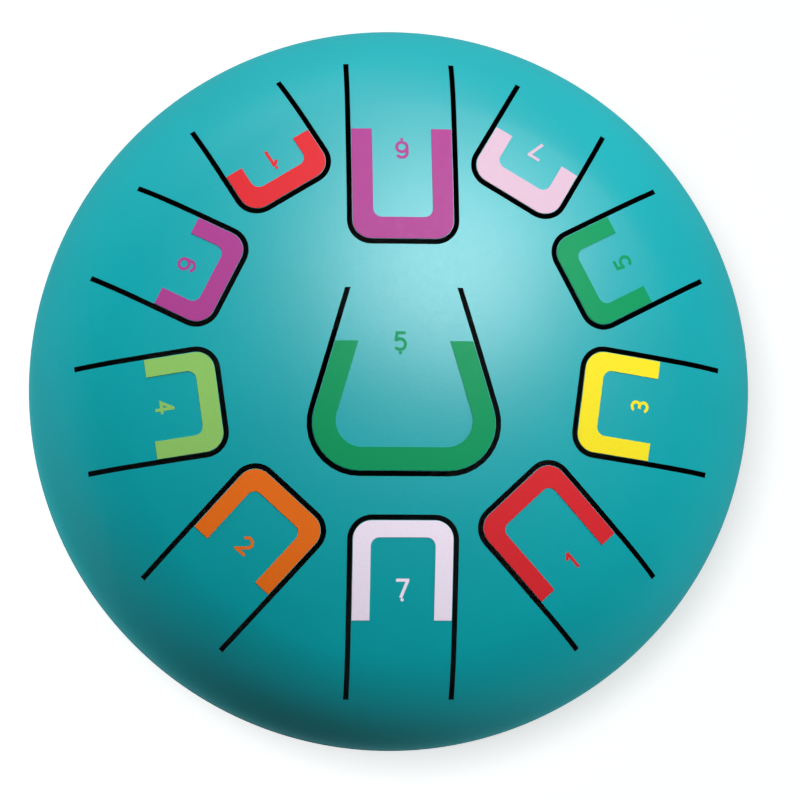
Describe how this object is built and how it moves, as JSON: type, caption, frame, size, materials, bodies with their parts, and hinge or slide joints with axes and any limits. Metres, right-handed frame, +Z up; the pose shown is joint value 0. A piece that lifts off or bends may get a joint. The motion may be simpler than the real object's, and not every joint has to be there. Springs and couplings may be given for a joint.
{
  "type": "steel tongue drum",
  "caption": "Domed steel tongue drum on rubber feet, with tuned tongues cut in its lacquered top, coloured note markers and a sound port underneath.",
  "frame": {"origin": "on the floor, under the middle of the drum, in the plane of the feet", "axes": "+Z up through the dome; +Y towards the root of the longest tongue of the ring; +X to the right of a player who sits at -Y"},
  "size_m": [0.2546, 0.2546, 0.1359],
  "materials": {
    "teal_lacquer": "satin",
    "black_rubber": "matte",
    "zinc_steel": "satin",
    "vinyl_red": "satin",
    "vinyl_orange": "satin",
    "vinyl_yellow": "satin",
    "vinyl_lime": "satin",
    "vinyl_green": "satin",
    "vinyl_purple": "satin",
    "vinyl_pink": "satin"
  },
  "bodies": {
    "drum_body": {"upper_shell": "teal_lacquer", "lower_shell": "teal_lacquer", "seam_weld": "teal_lacquer", "foot_1": "black_rubber", "foot_2": "black_rubber", "foot_3": "black_rubber", "foot_screws": "zinc_steel", "foot_washers": "zinc_steel", "foot_nuts": "zinc_steel"},
    "tongue_high_1": {"tongue_high_1": "teal_lacquer", "marker_high_1": "vinyl_red"},
    "tongue_7": {"tongue_7": "teal_lacquer", "marker_7": "vinyl_pink"},
    "tongue_6": {"tongue_6": "teal_lacquer", "marker_6": "vinyl_purple"},
    "tongue_5": {"tongue_5": "teal_lacquer", "marker_5": "vinyl_green"},
    "tongue_4": {"tongue_4": "teal_lacquer", "marker_4": "vinyl_lime"},
    "tongue_3": {"tongue_3": "teal_lacquer", "marker_3": "vinyl_yellow"},
    "tongue_2": {"tongue_2": "teal_lacquer", "marker_2": "vinyl_orange"},
    "tongue_1": {"tongue_1": "teal_lacquer", "marker_1": "vinyl_red"},
    "tongue_low_7": {"tongue_low_7": "teal_lacquer", "marker_low_7": "vinyl_pink"},
    "tongue_low_6": {"tongue_low_6": "teal_lacquer", "marker_low_6": "vinyl_purple"},
    "tongue_low_5": {"tongue_low_5": "teal_lacquer", "marker_low_5": "vinyl_green"}
  },
  "joints": [
    {"name": "flex_high_1", "type": "hinge", "parent": "drum_body", "child": "tongue_high_1", "pos_m": [-0.05634, 0.09377, 0.10875], "axis": [-0.8572, -0.515, 0], "range_deg": [-0.7, 0.7], "stiffness_Nm_per_rad": 321},
    {"name": "flex_7", "type": "hinge", "parent": "drum_body", "child": "tongue_7", "pos_m": [0.05634, 0.09377, 0.10875], "axis": [-0.8572, 0.515, 0], "range_deg": [-0.68, 0.68], "stiffness_Nm_per_rad": 312},
    {"name": "flex_6", "type": "hinge", "parent": "drum_body", "child": "tongue_6", "pos_m": [-0.09748, 0.04967, 0.10875], "axis": [-0.454, -0.891, 0], "range_deg": [-0.61, 0.61], "stiffness_Nm_per_rad": 281},
    {"name": "flex_5", "type": "hinge", "parent": "drum_body", "child": "tongue_5", "pos_m": [0.09704, 0.05051, 0.10875], "axis": [-0.4617, 0.887, 0], "range_deg": [-0.59, 0.59], "stiffness_Nm_per_rad": 274},
    {"name": "flex_4", "type": "hinge", "parent": "drum_body", "child": "tongue_4", "pos_m": [-0.10834, -0.01523, 0.10875], "axis": [0.1392, -0.9903, 0], "range_deg": [-0.56, 0.56], "stiffness_Nm_per_rad": 267},
    {"name": "flex_3", "type": "hinge", "parent": "drum_body", "child": "tongue_3", "pos_m": [0.10846, -0.01428, 0.10875], "axis": [0.1305, 0.9914, 0], "range_deg": [-0.54, 0.54], "stiffness_Nm_per_rad": 263},
    {"name": "flex_2", "type": "hinge", "parent": "drum_body", "child": "tongue_2", "pos_m": [-0.07391, -0.08066, 0.10875], "axis": [0.7373, -0.6756, 0], "range_deg": [-0.49, 0.49], "stiffness_Nm_per_rad": 235},
    {"name": "flex_1", "type": "hinge", "parent": "drum_body", "child": "tongue_1", "pos_m": [0.07461, -0.08001, 0.10875], "axis": [0.7314, 0.682, 0], "range_deg": [-0.48, 0.48], "stiffness_Nm_per_rad": 232},
    {"name": "flex_low_7", "type": "hinge", "parent": "drum_body", "child": "tongue_low_7", "pos_m": [0, -0.1094, 0.10875], "axis": [1, 0, 0], "range_deg": [-0.44, 0.44], "stiffness_Nm_per_rad": 212},
    {"name": "flex_low_6", "type": "hinge", "parent": "drum_body", "child": "tongue_low_6", "pos_m": [0, 0.1094, 0.10875], "axis": [-1, 0, 0], "range_deg": [-0.42, 0.42], "stiffness_Nm_per_rad": 203},
    {"name": "flex_low_5", "type": "hinge", "parent": "drum_body", "child": "tongue_low_5", "pos_m": [0, 0.02892, 0.13336], "axis": [-1, 0, 0], "range_deg": [-0.45, 0.45], "stiffness_Nm_per_rad": 349}
  ]
}
